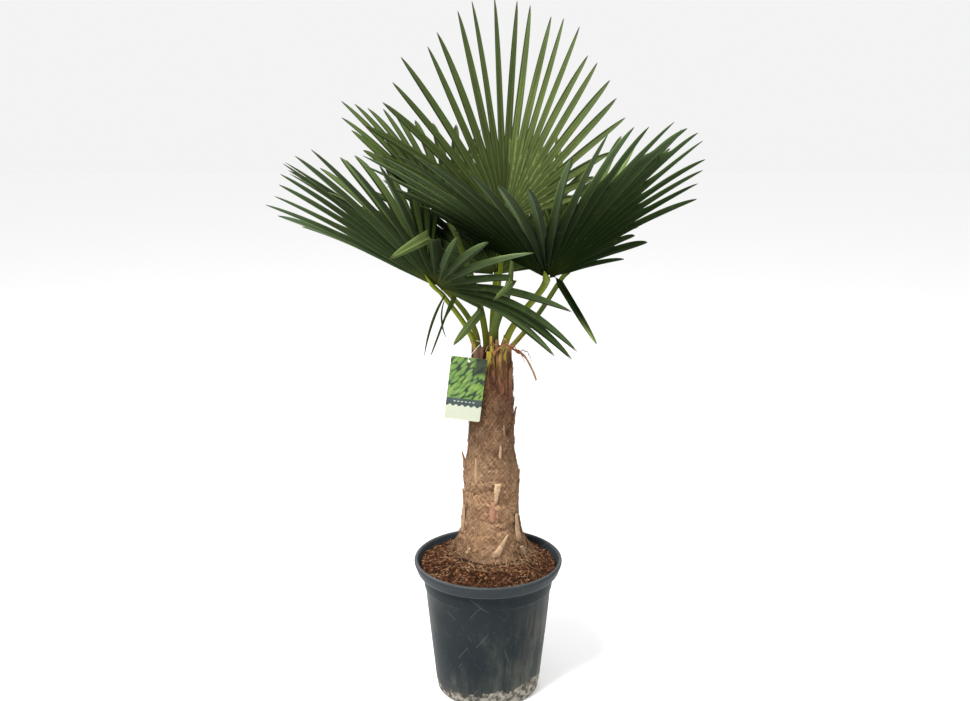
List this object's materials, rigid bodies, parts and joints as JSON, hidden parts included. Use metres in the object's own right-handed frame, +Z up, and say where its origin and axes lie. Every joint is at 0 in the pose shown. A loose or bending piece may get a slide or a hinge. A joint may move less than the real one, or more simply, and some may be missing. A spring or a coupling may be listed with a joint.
{
  "type": "potted windmill palm",
  "caption": "Windmill palm with a fibrous trunk and pleated fan fronds, rooted in a round black nursery pot, with a hanging plant label.",
  "frame": {"origin": "centre of the pot's flat underside", "axes": "+Z up along the trunk, from the underside to the crown; -Y is the front, where the label hangs; +X is the viewer's right"},
  "size_m": [1.012, 1.2258, 1.711],
  "materials": {
    "pot": "satin",
    "soil": "rough",
    "trunk": "rough",
    "petiole": "satin",
    "blade": "satin",
    "dry_stalk": "rough",
    "label": "satin",
    "tie": "satin"
  },
  "bodies": {
    "root": {"pot": "pot", "soil": "soil", "trunk": "trunk", "petiole_centre": "petiole", "petiole_right": "petiole", "petiole_left": "petiole", "petiole_up_left": "petiole", "petiole_back_right": "petiole", "petiole_back": "petiole", "petiole_back_left": "petiole", "spear_leaf": "blade", "frond_centre": "blade", "frond_right": "blade", "frond_left": "blade", "frond_up_left": "blade", "frond_back_right": "blade", "frond_back": "blade", "frond_back_left": "blade", "dry_stalk": "dry_stalk", "label_card": "label", "label_tie": "tie"}
  },
  "joints": []
}
